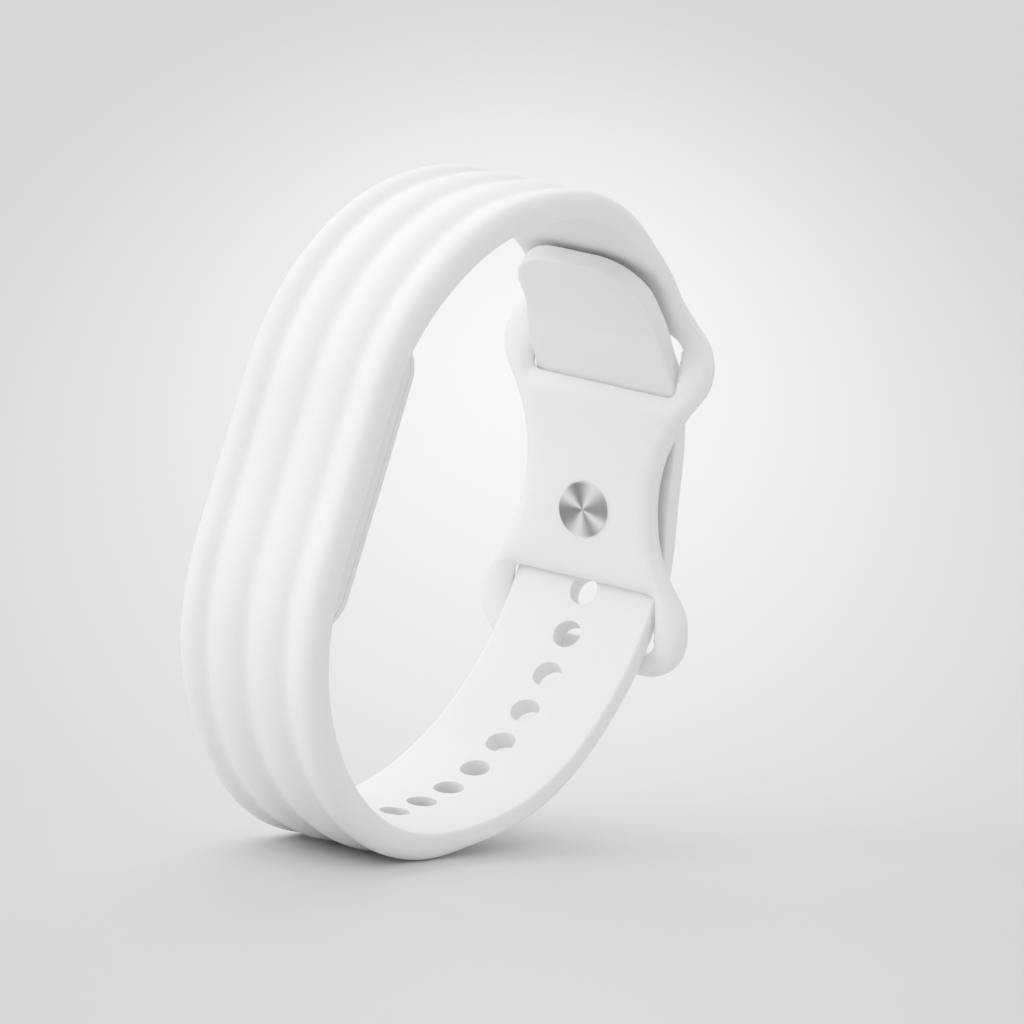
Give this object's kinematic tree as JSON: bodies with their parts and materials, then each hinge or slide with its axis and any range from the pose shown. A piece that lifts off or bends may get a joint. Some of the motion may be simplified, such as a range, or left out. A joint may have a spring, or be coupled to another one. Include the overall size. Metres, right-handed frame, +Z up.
{
  "type": "magnetic wrist pin holder",
  "caption": "Ribbed soft wrist band closed by a two-slot stud clasp, with a hard stadium-shaped pod of disc magnets seated inside it.",
  "frame": {"origin": "middle of the overall width and depth, on the floor that the closed band stands on", "axes": "+X across the loop towards the clasp, +Y across the strap along the wrist, +Z up; the strap is symmetric about the XZ plane"},
  "size_m": [0.0664, 0.0238, 0.0663],
  "materials": {
    "silicone": "matte white silicone rubber",
    "pod_plastic": "satin white moulded plastic",
    "magnet": "nickel-plated magnet",
    "stud_steel": "circular-spun stainless steel"
  },
  "bodies": {
    "band": {"strap": "silicone"},
    "pod": {"pod_case": "pod_plastic", "pod_cover": "pod_plastic", "magnet_1": "magnet", "magnet_2": "magnet", "magnet_3": "magnet"},
    "stud": {"stud_pin": "stud_steel", "stud_button": "stud_steel"}
  },
  "joints": [
    {"name": "pod_out", "type": "slide", "parent": "band", "child": "pod", "axis": [0.9613, 0, -0.2756], "range_m": [0, 0.012]},
    {"name": "stud_spin", "type": "hinge", "parent": "band", "child": "stud", "pos_m": [0.02786, 0, 0.0317], "axis": [0.9968, 0, 0.0802], "continuous": true}
  ]
}
